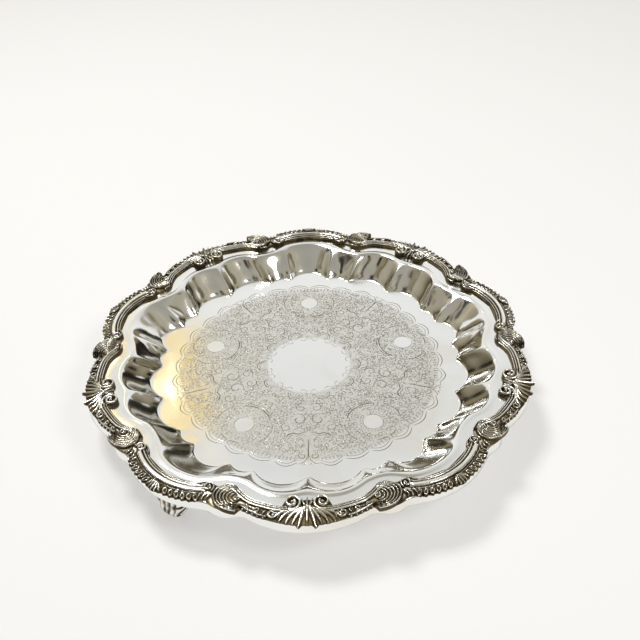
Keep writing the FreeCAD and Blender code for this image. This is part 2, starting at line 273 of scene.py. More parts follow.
ENGRAVED = 106.0
CUT_DEPTH = 0.035
PLAIN_CENTRE = 26.0
MEDALLION_RADIUS = 77.0
MEDALLION_OVAL = 7.4
MEDALLION_RAYS = 13
FINE = 0.30
BOLD = 0.62


def tapered(points, width):
    """A stroke: points and half widths, fine at both ends like a graver's cut."""
    points = np.asarray(points, float)
    share = np.linspace(0, 1, len(points))
    return points, width * (0.35 + 0.65 * np.sin(math.pi * share) ** 0.6)


def curl(centre, radius, start, sweep, width=FINE, tightening=0.0, stretch=1.0):
    """A stroke round a centre: an arc, or a spiral where it tightens."""
    count = max(4, int(abs(sweep) / 33) + 1)
    share = np.linspace(0, 1, count)
    reach = radius * (1 - tightening * share)
    turn = np.radians(start + sweep * share)
    offset = np.stack([reach * np.cos(turn), stretch * reach * np.sin(turn)], axis=-1)
    return tapered(np.asarray(centre) + offset, width)


def flick(start, heading, length, bend):
    """A short bent stroke that leaves a point on a heading."""
    share = np.linspace(0, 1, 5)
    turn = np.radians(heading + bend * share)
    steps = np.stack([np.cos(turn), np.sin(turn)], axis=-1) * (length / 4)
    points = np.asarray(start) + np.vstack([[0, 0], np.cumsum(steps[:-1], axis=0)])
    return tapered(points, FINE)


def sprig(place, heading, size, hand):
    """A scroll with three leaflets, the small change of the pattern."""
    strokes = [curl(place, 0.52 * size, heading, hand * 400, tightening=0.8)]
    for index in range(3):
        angle = heading - hand * (20 + 62 * index)
        root = np.asarray(place) + 0.55 * size * np.array(
            [math.cos(math.radians(angle)), math.sin(math.radians(angle))])
        strokes.append(flick(root, angle + hand * 25, 0.55 * size, hand * 85))
    return strokes


def medallion():
    """A rayed oval on the lobe's axis, with crescents and scrolls round it."""
    centre = polar(MEDALLION_RADIUS, LOBE_AXIS)
    strokes = [curl(centre, MEDALLION_OVAL, LOBE_AXIS, -180, FINE)]
    for index in range(MEDALLION_RAYS):
        angle = LOBE_AXIS - 8 - index * 13.6
        inner = centre + polar(7.8, angle)
        strokes.append(tapered(np.linspace(inner, centre + polar(10.6, angle + 6), 3), FINE * 0.8))
    for index in range(5):
        angle = LOBE_AXIS - 16 - index * 34
        strokes.append(curl(centre + polar(13.4, angle), 2.3, angle + 90, 400, FINE * 1.1, 0.72))
        strokes.append(flick(centre + polar(11.4, angle + 14), angle + 40, 4.6, -70))
    strokes.append(curl(centre, 18.6, LOBE_AXIS - 180, 44, BOLD * 1.1))
    strokes.append(curl(centre, 20.2, LOBE_AXIS - 180, 38, FINE))
    strokes.append(curl(centre, 17.4, LOBE_AXIS, -34, BOLD * 0.8))
    strokes.append(curl(centre, 20.8, LOBE_AXIS - 60, -70, FINE * 1.2))
    return strokes, [(centre, 14.2)]


def cartouche():
    """The edge of the plain centre: arches between small diamonds."""
    strokes = [curl(polar(34.0, 17.0), 5.4, 17 - 118, 236, FINE * 1.5),
               curl(polar(34.0, 17.0), 3.6, 17 - 118, 236, FINE)]
    for axis, reach in ((0.0, 31.0), (LOBE_AXIS, 32.0)):
        centre = polar(reach, axis)
        corners = [centre + polar(2.6, axis + turn) for turn in (0, 90, 180, 270, 360)]
        for start, end in zip(corners, corners[1:]):
            strokes.append(tapered(np.linspace(start, end, 3), FINE))
    strokes.append(curl(polar(30.5, 7.5), 2.2, 100, 160, FINE))
    strokes.append(curl(polar(31.0, 27.5), 2.6, 120, 160, FINE))
    return strokes, [(polar(34.0, 17.0), 6.0), (polar(31.0, 0.0), 3.4), (polar(32.0, 36.0), 3.4)]


def mask_scrolls():
    """The strapwork on the palmette's axis: a bracket over scrolls, and a stem above it."""
    strokes = [
        curl((47.0, 5.2), 5.0, 250, -430, FINE * 1.3, 0.75),
        curl((58.5, 7.0), 6.2, 120, 430, FINE * 1.5, 0.78),
        curl((66.0, 15.5), 4.6, 200, -420, FINE * 1.3, 0.78),
        curl((93.0, 4.0), 3.4, 200, -430, FINE * 1.5, 0.78),
        curl((87.0, 10.0), 3.0, 40, 400, FINE, 0.75),
    ]
    bracket = [(72.0, 0.0), (71.2, 3.5), (72.8, 7.0), (71.6, 11.0), (73.5, 14.5), (77.0, 16.0)]
    strokes.append(tapered(bracket, BOLD))
    strokes.append(tapered([(x + 2.0, y) for x, y in bracket[:-1]], FINE))
    strokes.append(tapered([(74.0, 0.0), (82.0, 0.0), (91.0, 0.0), (101.5, 0.0)], BOLD))
    strokes.append(tapered([(90.0, 0.0), (97.0, 1.6), (100.0, 5.0), (99.5, 9.0)], FINE * 1.3))
    strokes.append(tapered([(101.5, 0.0), (99.5, 2.2), (102.5, 4.6)], FINE))
    for reach in (3.4, 5.0):
        strokes.append(curl((81.0, 4.2 + reach * 0.4), reach, 90, 180, FINE, stretch=0.55))
        strokes.append(curl((81.0, 4.2 + reach * 0.4), reach, 90, -180, FINE, stretch=0.55))
    for index in range(4):
        strokes.append(flick((52.0 + 4.5 * index, 0.0), 70 - 12 * index, 5.0, -60))
    return strokes, [((48.5, 5.2), 4.0), ((58.5, 7.0), 5.5), ((66.0, 15.5), 3.6), ((93.0, 3.0), 4.5),
                     ((81.0, 3.0), 6.0), ((72.0, 6.0), 3.0)]


def leafy_edge():
    """Scalloped outer edge of the engraving, with combs of short leaves inside it."""
    strokes = []
    for first, last, crown in ((4.0, 14.0, 103.0), (14.0, 25.0, 101.5), (25.0, 36.0, 102.5)):
        share = np.linspace(0, 1, 9)
        angle = first + (last - first) * share
        for inset, width in ((0.0, FINE * 1.5), (2.6, FINE)):
            reach = 98.5 - inset + (crown - 98.5) * np.sin(math.pi * share)
            strokes.append(tapered(polar(reach, angle), width))
        for index in range(6):
            angle = first + (last - first) * (index + 0.7) / 6.4
            strokes.append(flick(polar(93.6, angle), angle + 25, 4.6, -50))
    return strokes, []


def filling(kept_clear):
    """Sprigs and flicks scattered over what the large motifs leave free."""
    dice = np.random.default_rng(11)
    strokes = []
    taken = list(kept_clear)
    for reach in np.arange(40.5, 94.0, 4.9):
        step = math.degrees(5.2 / reach)
        for angle in np.arange(step / 2, LOBE_AXIS, step):
            place = polar(reach + dice.uniform(-0.9, 0.9), angle + dice.uniform(-0.2, 0.2) * step)
            heading = dice.uniform(0, 360)
            if all(np.hypot(*(place - centre)) > clear + 0.6 for centre, clear in taken):
                hand = 1 if dice.random() < 0.5 else -1
                strokes += sprig(place, heading, dice.uniform(3.8, 5.0), hand)
    return strokes


def outline_of(stroke):
    """Left edge, middle and right edge of a stroke."""
    points, width = stroke
    along = np.gradient(points, axis=0)
    along /= np.linalg.norm(along, axis=1)[:, None]
    across = np.stack([-along[:, 1], along[:, 0]], axis=-1) * width[:, None]
    return points + across, points, points - across


def closeness(vertices, strokes):
    """How deep each vertex lies in the nearest cut: 0 outside, 1 on its middle line."""
    best = np.zeros(len(vertices))
    for points, width in strokes:
        low = points.min(axis=0) - 1
        high = points.max(axis=0) + 1
        near = np.flatnonzero(((vertices > low) & (vertices < high)).all(axis=1))
        if len(near) == 0:
            continue
        start, step = points[:-1], np.diff(points, axis=0)
        offset = vertices[near, None] - start
        share = ((offset * step).sum(-1) / (step * step).sum(-1)).clip(0, 1)
        gap = np.linalg.norm(offset - share[..., None] * step, axis=-1)
        limit = width[:-1] + share * np.diff(width)
        place = (np.arange(len(start)) + share) / len(start)
        run_out = (12 * np.minimum(place, 1 - place)).clip(0, 1)
        best[near] = np.maximum(best[near], ((1 - gap / limit) * run_out).max(axis=1))
    return best.clip(0, 1)


def engraved_wedge():
    """Half a repeat of the engraved disc: flat vertices, their depth of cut, and triangles."""
    strokes, kept_clear = [], []
    for motif in (medallion, cartouche, mask_scrolls, leafy_edge):
        made, clear = motif()
        strokes += made
        kept_clear += clear
    strokes += filling(kept_clear)
    rim = polar(ENGRAVED, np.linspace(0, LOBE_AXIS, AROUND_HALF + 1))
    points = [(0.0, 0.0)] + rim.tolist()
    wedge = list(range(len(points)))
    points += polar(PLAIN_CENTRE, np.linspace(0, LOBE_AXIS, 14)).tolist()
    edges = []
    for stroke in strokes:
        for line in outline_of(stroke):
            first = len(points)
            points += line.tolist()
            edges += [(first + k, first + k + 1) for k in range(len(line) - 1)]
    result = delaunay_2d_cdt([Vector(p) for p in points], edges, [wedge], 0, 1e-4, True)
    vertices = np.array([tuple(v) for v in result[0]])
    faces = [face for face, origin in zip(result[2], result[5]) if 0 in origin]
    used = np.unique(np.array(faces))
    renumber = np.full(len(vertices), -1)
    renumber[used] = np.arange(len(used))
    flat = vertices[used]
    return flat, closeness(flat, strokes), renumber[np.array(faces)]


# ---------------------------------------------------------------- the stamped sheet

AROUND_HALF = 60
FLUTE_DEPTH = 3.2
# The wall's section: the share of the way from floor to brim, and the share of the height.
WALL = [(-0.07, 0.0), (-0.02, 0.004), (0.02, 0.04), (0.07, 0.12), (0.16, 0.23), (0.28, 0.35),
        (0.42, 0.48), (0.55, 0.605), (0.67, 0.72), (0.77, 0.81), (0.85, 0.88), (0.92, 0.935),
        (0.98, 0.975), (1.04, 0.998), (1.09, 1.006), (1.14, 1.002), (1.20, 0.99), (1.28, 0.98)]


def sheet_rings():
    """Rings of the sheet's upper side from the engraved disc to the apron's lower edge."""
    guide = np.linspace(0, LOBE_AXIS, AROUND_HALF + 1)
    marks = [a for a, _ in FLOOR_LINE]
    brim_angle = np.interp(guide, marks, [a for a, _ in BRIM_LINE])
    edge_angle = np.interp(guide, marks, EDGE_GUIDE)
    floor_radius = scalloped(FLOOR_LINE, True, guide)
    brim_radius = scalloped(BRIM_LINE, True, brim_angle)
    edge_radius = scalloped(EDGE_LINE, False, edge_angle)
    floor_radius, brim_radius, edge_radius = (
        softened(around(line), passes)
        for line, passes in ((floor_radius, 2), (brim_radius, 14), (edge_radius, 5)))
    flute = around(np.interp(guide, *zip(*FLUTES)) ** 0.6)
    repeat = np.arange(REPEATS).repeat(2 * AROUND_HALF) * 2 * LOBE_AXIS

    def turned(angle):
        whole = np.concatenate([angle, 2 * LOBE_AXIS - angle[-2:0:-1]])
        return np.tile(whole, REPEATS) + repeat + FIRST_PALMETTE

    floor_turn, brim_turn, edge_turn = turned(guide), turned(brim_angle), turned(edge_angle)
    rings = [(np.full_like(floor_turn, ENGRAVED), floor_turn, np.full_like(floor_turn, FLOOR))]
    rise = RIM - FLOOR
    for share, height in WALL:
        swell = FLUTE_DEPTH * math.sin(math.pi * min(max(height, 0), 1)) ** 0.7
        radius = floor_radius + share * (brim_radius - floor_radius) + swell * (flute - 0.5)
        turn = floor_turn + min(max(share, 0), 1) * (brim_turn - floor_turn)
        rings.append((radius, turn, np.full_like(radius, FLOOR + rise * height)))
    last_radius, last_turn, _ = rings[-1]
    for share in (0.3, 0.6, 0.85):
        radius = last_radius + share * (edge_radius - 1.5 - last_radius)
        turn = last_turn + share * (edge_turn - last_turn)
        rings.append((radius, turn, np.full_like(radius, RIM)))
    drop = RIM - APRON_EDGE
    apron = [(-1.5, 0.0), (-0.6, 0.06), (-0.15, 0.4), (0.0, 1.2), (0.15 * APRON_FLARE, 0.35 * drop),
             (0.5 * APRON_FLARE, 0.7 * drop), (APRON_FLARE, drop - 0.3), (APRON_FLARE - 0.2, drop)]
    for out, down in apron:
        rings.append((edge_radius + out, edge_turn, np.full_like(edge_radius, RIM - down)))
    return rings


def underside(rings):
    """The same rings moved through the sheet's thickness, from the apron's edge inwards."""
    moved = []
    for index in range(len(rings) - 1, -1, -2):
        radius, turn, height = rings[index]
        before = rings[max(index - 1, 0)]
        after = rings[min(index + 1, len(rings) - 1)]
        along_radius = after[0] - before[0]
        along_height = after[2] - before[2]
        length = np.hypot(along_radius, along_height)
        out = along_height / length * GAUGE
        down = along_radius / length * GAUGE
        moved.append((radius + out, turn, height - down))
    return moved


def ring_points(ring):
    radius, turn, height = ring
    return np.column_stack([polar(1.0, turn) * radius[:, None], height])


def ring_faces(count, rings):
    """Quads between rings of equal length that follow each other."""
    near = np.arange(count)
    far = (near + 1) % count
    strips = [np.column_stack([near, far, far + count, near + count]) + k * count
              for k in range(rings - 1)]
    return np.vstack(strips)


def store(mesh, name, values):
    """Keep a number for every vertex, for the materials to read."""
    layer = mesh.attributes.new(name, "FLOAT", "POINT")
    layer.data.foreach_set("value", np.asarray(values, np.float32))


def tray_body():
    """The sheet, with the engraved disc cut into its floor."""
    flat, depth, triangles = engraved_wedge()
    points, faces, marks = [], [], []
    for repeat in range(REPEATS):
        for hand in (1, -1):
            turn = math.radians(FIRST_PALMETTE + repeat * 2 * LOBE_AXIS)
            x, y = flat[:, 0], hand * flat[:, 1]
            placed = np.column_stack([x * math.cos(turn) - y * math.sin(turn),
                                      x * math.sin(turn) + y * math.cos(turn),
                                      FLOOR - CUT_DEPTH * depth])
            faces += (triangles[:, ::hand] + len(points) * len(flat)).tolist()
            points.append(placed)
            marks.append(depth)
    disc_faces = len(faces)
    rings = sheet_rings()
    rings += underside(rings)
    count = len(rings[0][0])
    for share in (0.6, 0.25):
        radius, turn, height = rings[-1]
        rings.append((radius * share, turn, height))
    start = sum(len(part) for part in points)
    body = np.vstack([ring_points(ring) for ring in rings])
    faces += (ring_faces(count, len(rings)) + start).tolist()
    last = start + (len(rings) - 1) * count
    middle = start + len(body)
    faces += [(last + k, last + (k + 1) % count, middle) for k in range(count)]
    vertices = np.vstack(points + [body, [[0, 0, FLOOR - GAUGE]]])
    item = new_object("salver_sheet", vertices, faces, silver_sheet())
    marks = np.concatenate(marks + [np.zeros(len(body) + 1)])
    store(item.data, "cut", marks)
    smooth = np.ones(len(item.data.polygons), bool)
    smooth[:disc_faces] = False
    item.data.polygons.foreach_set("use_smooth", smooth)
    weld(item)
    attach(item, "root")
    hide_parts("tray_body")


def weld(item):
    """Join vertices that lie on one another and turn every face outwards."""
    work = bmesh.new()
    work.from_mesh(item.data)
    bmesh.ops.remove_doubles(work, verts=work.verts, dist=2e-6)
    bmesh.ops.recalc_face_normals(work, faces=work.faces)
    work.to_mesh(item.data)
    work.free()


# ---------------------------------------------------------------- materials

def metal(name, colour, roughness):
    """A polished silver surface and its node tree, ready for tarnish, painted shade and wear."""
    material = bpy.data.materials.new(name)
    material.use_nodes = True
    tree = material.node_tree
    shader = tree.nodes["Principled BSDF"]
    shader.inputs["Metallic"].default_value = 1.0
    shader.inputs["Base Color"].default_value = (*colour, 1)
    shader.inputs["Roughness"].default_value = roughness
    return material, tree, shader


def attribute(tree, name):
    node = tree.nodes.new("ShaderNodeAttribute")
    node.attribute_name = name
    return node.outputs["Fac"]


def noise(tree, scale, detail=3.0, distortion=0.0):
    coordinates = tree.nodes.new("ShaderNodeTexCoord")
    node = tree.nodes.new("ShaderNodeTexNoise")
    node.inputs["Scale"].default_value = scale
    node.inputs["Detail"].default_value = detail
    node.inputs["Distortion"].default_value = distortion
    tree.links.new(coordinates.outputs["Object"], node.inputs["Vector"])
    return node.outputs["Fac"]


def ranged(tree, value, low, high, new_low, new_high):
    node = tree.nodes.new("ShaderNodeMapRange")
    node.interpolation_type = "SMOOTHSTEP"
    limits = {"From Min": low, "From Max": high, "To Min": new_low, "To Max": new_high}
    for name, number in limits.items():
        node.inputs[name].default_value = number
    tree.links.new(value, node.inputs["Value"])
    return node.outputs["Result"]


def blended(tree, share, first, second):
    node = tree.nodes.new("ShaderNodeMix")
    node.data_type = "RGBA"
    tree.links.new(share, node.inputs["Factor"])
    for name, colour in (("A", first), ("B", second)):
        socket = [s for s in node.inputs if s.name == name and s.type == "RGBA"][0]
        if isinstance(colour, tuple):
            socket.default_value = (*colour, 1)
        else:
            tree.links.new(colour, socket)
    return [s for s in node.outputs if s.type == "RGBA"][0]


def mathed(tree, operation, first, second):
    node = tree.nodes.new("ShaderNodeMath")
    node.operation = operation
    for socket, value in zip(node.inputs, (first, second)):
        if isinstance(value, (int, float)):
            socket.default_value = value
        else:
            tree.links.new(value, socket)
    return node.outputs[0]


def bumped(tree, shader, height, strength, distance):
    node = tree.nodes.new("ShaderNodeBump")
    node.inputs["Strength"].default_value = strength
    node.inputs["Distance"].default_value = distance
    tree.links.new(height, node.inputs["Height"])
    tree.links.new(node.outputs["Normal"], shader.inputs["Normal"])


# Radii between which the tint of the engraving fades in and out, and that of the plain ovals.
FIELD_STARTS = (30.0 * MM, 33.0 * MM)
FIELD_ENDS = (95.0 * MM, 99.0 * MM)
OVAL_ENDS = (6.2 * MM, MEDALLION_OVAL * MM)


def engraved_field(tree):
    """1 on the engraved ground of the upper face, 0 in the ovals and everywhere else."""
    coordinates = tree.nodes.new("ShaderNodeTexCoord")
    flat = tree.nodes.new("ShaderNodeVectorMath")
    flat.operation = "MULTIPLY"
    flat.inputs[1].default_value = (1, 1, 0)
    tree.links.new(coordinates.outputs["Object"], flat.inputs[0])
    length = tree.nodes.new("ShaderNodeVectorMath")
    length.operation = "LENGTH"
    tree.links.new(flat.outputs[0], length.inputs[0])
    radius = length.outputs["Value"]
    field = mathed(tree, "MULTIPLY", ranged(tree, radius, *FIELD_STARTS, 0, 1),
                   ranged(tree, radius, *FIELD_ENDS, 1, 0))
    for index in range(REPEATS):
        centre = polar(MEDALLION_RADIUS, FIRST_PALMETTE + LOBE_AXIS + index * 360 / REPEATS) * MM
        apart = tree.nodes.new("ShaderNodeVectorMath")
        apart.operation = "DISTANCE"
        apart.inputs[1].default_value = (*centre, 0)
        tree.links.new(flat.outputs[0], apart.inputs[0])
        outside = ranged(tree, apart.outputs["Value"], *OVAL_ENDS, 0, 1)
        field = mathed(tree, "MULTIPLY", field, outside)
    split = tree.nodes.new("ShaderNodeSeparateXYZ")
    tree.links.new(coordinates.outputs["Object"], split.inputs[0])
    upper_face = ranged(tree, split.outputs["Z"], (FLOOR - 0.75 * GAUGE) * MM,
                        (FLOOR - 0.25 * GAUGE) * MM, 0, 1)
    return mathed(tree, "MULTIPLY", field, upper_face)


def silver_sheet():
    """Polished plate: frosted dark cuts, fine scrolling lines between them, uneven polish."""
    material, tree, shader = metal("polished_silver_sheet", (0.87, 0.855, 0.815), 0.1)
    field = engraved_field(tree)
    swirl = mathed(tree, "PINGPONG", mathed(tree, "MULTIPLY", noise(tree, 150, 1.5, 1.2), 5.0), 0.5)
    fine_line = mathed(tree, "MULTIPLY", ranged(tree, swirl, 0.03, 0.16, 0.62, 0), field)
    cut = mathed(tree, "MAXIMUM", ranged(tree, attribute(tree, "cut"), 0.05, 0.6, 0, 1), fine_line)
    tarnish = ranged(tree, noise(tree, 18, 4, 0.6), 0.45, 0.75, 0, 1)
    plate = blended(tree, tarnish, (0.87, 0.87, 0.85), (0.82, 0.80, 0.74))
    worked = blended(tree, mathed(tree, "MULTIPLY", field, 0.6), plate, (0.66, 0.645, 0.58))
    colour = blended(tree, cut, worked, (0.17, 0.15, 0.105))
    tree.links.new(colour, shader.inputs["Base Color"])
    polish = ranged(tree, noise(tree, 35, 5), 0.3, 0.75, 0.09, 0.17)
    rough = mathed(tree, "ADD", polish, mathed(tree, "MULTIPLY", cut, 0.45))
    tree.links.new(rough, shader.inputs["Roughness"])
    height = mathed(tree, "SUBTRACT", noise(tree, 22, 2), mathed(tree, "MULTIPLY", fine_line, 0.05))
    bumped(tree, shader, height, 0.06, 0.004)
    return material


def cast_silver():
    """Cast mounts: bright on the high places, olive brown in the hollows: oxide and painted shade."""
    material, tree, shader = metal("cast_silver_oxide_and_painted_shade", (0.9, 0.88, 0.83), 0.16)
    # The hollow mask is painted shade as well as oxide: it darkens recesses and low places, with some
    # noise.
    oxide_and_painted_shade = mathed(tree, "ADD", attribute(tree, "hollow"), ranged(tree, noise(tree, 160, 3), 0.3, 0.7,
                                                                  -0.12, 0.12))
    share = ranged(tree, oxide_and_painted_shade, 0.10, 0.58, 0, 1)
    tone = ranged(tree, noise(tree, 60, 3), 0.35, 0.7, 0, 1)
    bright = blended(tree, tone, (0.92, 0.905, 0.86), (0.82, 0.79, 0.70))
    dark = blended(tree, tone, (0.060, 0.046, 0.022), (0.17, 0.13, 0.065))
    tree.links.new(blended(tree, share, bright, dark), shader.inputs["Base Color"])
    rough = mathed(tree, "ADD", mathed(tree, "MULTIPLY", share, 0.35),
                   ranged(tree, noise(tree, 220, 4), 0.3, 0.7, 0.12, 0.24))
    tree.links.new(rough, shader.inputs["Roughness"])
    bumped(tree, shader, noise(tree, 420, 3), 0.15, 0.0006)
    return material


# ---------------------------------------------------------------- the cast border

# The border is drawn on a strip: along it from the palmette's axis, and across it from its mean
# radius, both in millimetres. Half a repeat runs from 0 to STRIP_END.
MEAN_RADIUS = 150.0
STRIP_STEP = math.radians(1) * MEAN_RADIUS
STRIP_END = LOBE_AXIS * STRIP_STEP
ANGLE_STEP = 0.1
ACROSS = 72
# How many grid places away a crest still shades a hollow.
CREST_REACH = 4
PLATE = 1.0
BACK_EDGE = [(0, -5.2), (6, -5.5), (9, -6.6), (13, -6), (15.5, 0), (22, -0.7), (35, -3.4), (44, -8),
             (50, -9.2), (55, -8.4), (60, -6.6), (66, -6.6), (70, -4.6), (74, -2.6), (94.3, 0.6)]
FRONT_EDGE = [(0, 13.5), (9, 13), (16, 12), (23.6, 9.8), (31, 6.4), (40.6, 4.4), (46, 7), (51, 9.6),
              (56, 8.8), (61.5, 6), (68, 7.8), (76, 10.5), (84, 12.2), (94.3, 13.4)]
LOBE_CENTRE = 106.0
# The gadroons stand on a circle about the lobe's own centre: its radius, and degrees for each one.
GADROON_CIRCLE = 56.2
GADROON_PITCH = 4.2
GADROON_HALF_LENGTH = 3.2
GADROON_LEAN = 0.30
BAND = [(54, -6.8), (50, -7.2), (46, -5.8), (41, -2.6), (35, 0.2), (28, 1.7), (21, 2.8), (15, 3.6),
        (11, 3.4)]


def smooth_path(points, count):
    """A Catmull-Rom curve through points, resampled."""
    points = np.asarray(points, float)
    padded = np.vstack([2 * points[0] - points[1], points, 2 * points[-1] - points[-2]])
    share = np.linspace(0, len(points) - 1 - 1e-9, count)
    index = share.astype(int)
    t = (share - index)[:, None]
    a, b, c, d = (padded[index + k] for k in range(4))
    return 0.5 * (2 * b + (c - a) * t + (2 * a - 5 * b + 4 * c - d) * t ** 2
                  + (3 * b - a - 3 * c + d) * t ** 3)


class Relief:
    """Heights over the strip, made by laying ridges on one another and keeping the highest."""

    def __init__(self, along, across):
        self.points = np.stack([along.ravel(), across.ravel()], axis=-1)
        self.shape = along.shape
        self.height = np.zeros(len(self.points))

    def raise_to(self, chosen, height):
        self.height[chosen] = np.maximum(self.height[chosen], height)

    def ridge(self, path, width, height, keel=2.0, pointed=True, end_height=None):
        """A ridge along a path; it swells and ends in points, or keeps its width."""
        for mirror in (1, -1):
            line = np.asarray(path, float) * (mirror, 1)
            low, high = line.min(axis=0) - width, line.max(axis=0) + width
            near = np.flatnonzero(((self.points > low) & (self.points < high)).all(axis=1))
            if len(near) == 0:
                continue
            start, step = line[:-1], np.diff(line, axis=0)
            offset = self.points[near, None] - start
            share = ((offset * step).sum(-1) / (step * step).sum(-1)).clip(0, 1)
            gap = np.linalg.norm(offset - share[..., None] * step, axis=-1)
            place = (np.arange(len(start)) + share) / len(start)
            wide = width * (0.3 + 0.7 * np.sin(math.pi * place ** 0.8) ** 0.7) if pointed else width
            ratio = gap / wide
            best = ratio.argmin(axis=1)
            rows = np.arange(len(near))
            ratio, place = ratio[rows, best], place[rows, best]
            inside = ratio < 1
            swell = (1 - ratio[inside] ** keel) ** 0.5
            last = height if end_height is None else end_height
            self.raise_to(near[inside], (height + (last - height) * place[inside]) * swell)

    def dome(self, centre, length, width, height):
        """An oval bead."""
        for mirror in (1, -1):
            offset = self.points - np.asarray(centre) * (mirror, 1)
            ratio = (offset[:, 0] / width) ** 2 + (offset[:, 1] / length) ** 2
            inside = ratio < 1
            self.raise_to(inside, height * np.sqrt(1 - ratio[inside]))


def scroll_path(centre, start_radius, end_radius, start, sweep, count=26, lift=1.0, drop=1.0):
    """Points of a spiral on the strip; lift and drop stretch its upper and lower halves."""
    share = np.linspace(0, 1, count)
    turn = np.radians(start + sweep * share)
    reach = start_radius + (end_radius - start_radius) * share
    up = np.sin(turn)
    stretch = np.where(up > 0, lift, drop)
    return np.stack([centre[0] + reach * np.cos(turn), centre[1] + reach * stretch * up], axis=-1)


def plate(relief):
    """The mounts' common ground, gently crowned."""
    along, across = relief.points.T
    inner = np.interp(np.abs(along), *zip(*BACK_EDGE))
    outer = np.interp(np.abs(along), *zip(*FRONT_EDGE))
    share = (across - inner) / (outer - inner)
    inside = (share > 0) & (share < 1)
    relief.raise_to(inside, PLATE + 0.8 * np.sin(math.pi * share[inside]))


def palmette(relief):
    """Leaves that spring like a fountain from a bud between two volutes."""
    leaves = [((0, 1), (0, 7), (0, 13.8), 1.35), ((1.2, 1.5), (3.2, 8.0), (5.1, 16.4), 1.7),
              ((1.9, 2), (6.2, 8.4), (8.2, 13.6), 1.4), ((2.8, 2.4), (9.6, 8.0), (11.8, 13.2), 1.5),
              ((3.8, 2.8), (12.6, 7.2), (15.6, 12.0), 1.4), ((4.8, 3.2), (15.0, 6.2), (19.2, 10.2), 1.3)]
    for root, middle, tip, width in leaves:
        relief.ridge(smooth_path([root, middle, tip], 12), width, 4.4, keel=1.6, end_height=2.8)
    for root, middle, tip in (((0, 1.5), (0, -3), (0, -6.6)), ((1.2, 1), (2.6, -2.4), (3.2, -5.4))):
        relief.ridge(smooth_path([root, middle, tip], 8), 1.1, 3.6, keel=1.5)
    relief.dome((0, 1.2), 2.2, 1.7, 4.6)


def s_scroll(relief):
    """Reeds that leave the shell, run along the lobe and curl into the palmette's volute."""
    reed = smooth_path(BAND, 40)
    outward = np.gradient(reed, axis=0)[:, ::-1] * (1, -1)
    outward /= np.linalg.norm(outward, axis=1)[:, None]
    for offset, width, height, keel in ((1.3, 0.85, 3.5, 4.0), (-0.6, 0.62, 3.2, 3.0),
                                        (-2.2, 0.62, 2.7, 3.0)):
        relief.ridge(reed + outward * offset, width, height, keel, pointed=False)
    coil = scroll_path((9.4, -2.2), 5.7, 1.7, 76, 500, 40)
    relief.ridge(coil, 1.1, 3.7, keel=3.0, pointed=False, end_height=4.2)
    relief.dome((9.4, -2.4), 1.3, 1.3, 4.0)


def foliage(relief):
    """Rocaille between the palmette and the shell: a curled leaf, a long leaf edge and beads."""
    relief.ridge(scroll_path((20.4, 7.2), 2.9, 0.9, 200, -440), 0.55, 3.2, keel=3.0, pointed=False)
    for index in range(4):
        root = 15.0 + 3.0 * index
        ground = np.interp(root, [15, 28], [5.8, 4.2])
        reach = np.interp(root, [15, 28], [10.8, 8.0])
        relief.ridge([(root, ground), (root + 1.4, (ground + reach) / 2), (root + 1.9, reach)], 0.6, 2.9)
    edge = smooth_path([(23.5, 9.6), (28, 8.8), (33, 7.0), (38, 5.4), (41.5, 3.8)], 24)
    relief.ridge(edge, 0.75, 3.4, keel=2.0)
    relief.ridge(scroll_path((36.4, 4.4), 1.9, 0.7, 120, -400), 0.5, 3.0, keel=3.0, pointed=False)
    relief.ridge(scroll_path((29.4, 5.6), 1.8, 0.7, 120, -400), 0.5, 3.0, keel=3.0, pointed=False)
    for index in range(4):
        relief.dome((26.3 + 1.9 * (index % 2) + 6.9 * (index // 2), 5.4 - 0.45 * index), 0.8, 0.7, 2.6)
    for index in range(5):
        place = 24.0 + 3.3 * index
        crest = np.interp(place, [25, 37], [9.6, 6.2])
        relief.ridge([(place, crest - 0.6), (place + 1.3, crest + 1.2)], 0.7, 2.7)


def fan_shell(relief):
    """Nested crescents round the small scroll that they spring from."""
    for index in range(6):
        size = index / 5
        path = scroll_path((44.6, -0.6), 3.4 + 10.6 * size, 3.4 + 10.6 * size, -92 + 14 * size,
                           205 - 20 * size, 30, lift=0.98 - 0.2 * size, drop=0.95 - 0.4 * size)
        relief.ridge(path, 0.66, 3.0 + 1.5 * size, keel=2.4)
    relief.ridge(scroll_path((43.4, -0.4), 2.1, 0.6, -40, 400), 0.6, 3.6, keel=3.0, pointed=False)


def lobe_scroll(relief):
    """The small volute and acanthus leaf that start the plain lobe."""
    relief.ridge(scroll_path((64.2, -2.6), 3.7, 1.1, 150, 470), 0.7, 3.7, keel=3.0, pointed=False)
    relief.dome((64.4, -2.8), 0.9, 0.9, 3.4)
    relief.ridge(smooth_path([(61.4, -5.6), (66.5, -6.2), (70.5, -3.8), (73, -0.6)], 14), 0.7, 3.0)
    for index in range(4):
        root = 60.0 + 2.6 * index
        relief.ridge([(root, 1.8 + 0.7 * index), (root + 1.4, 4.8), (root + 1.1, 6.8 + 0.5 * index)],
                     0.75, 3.1)


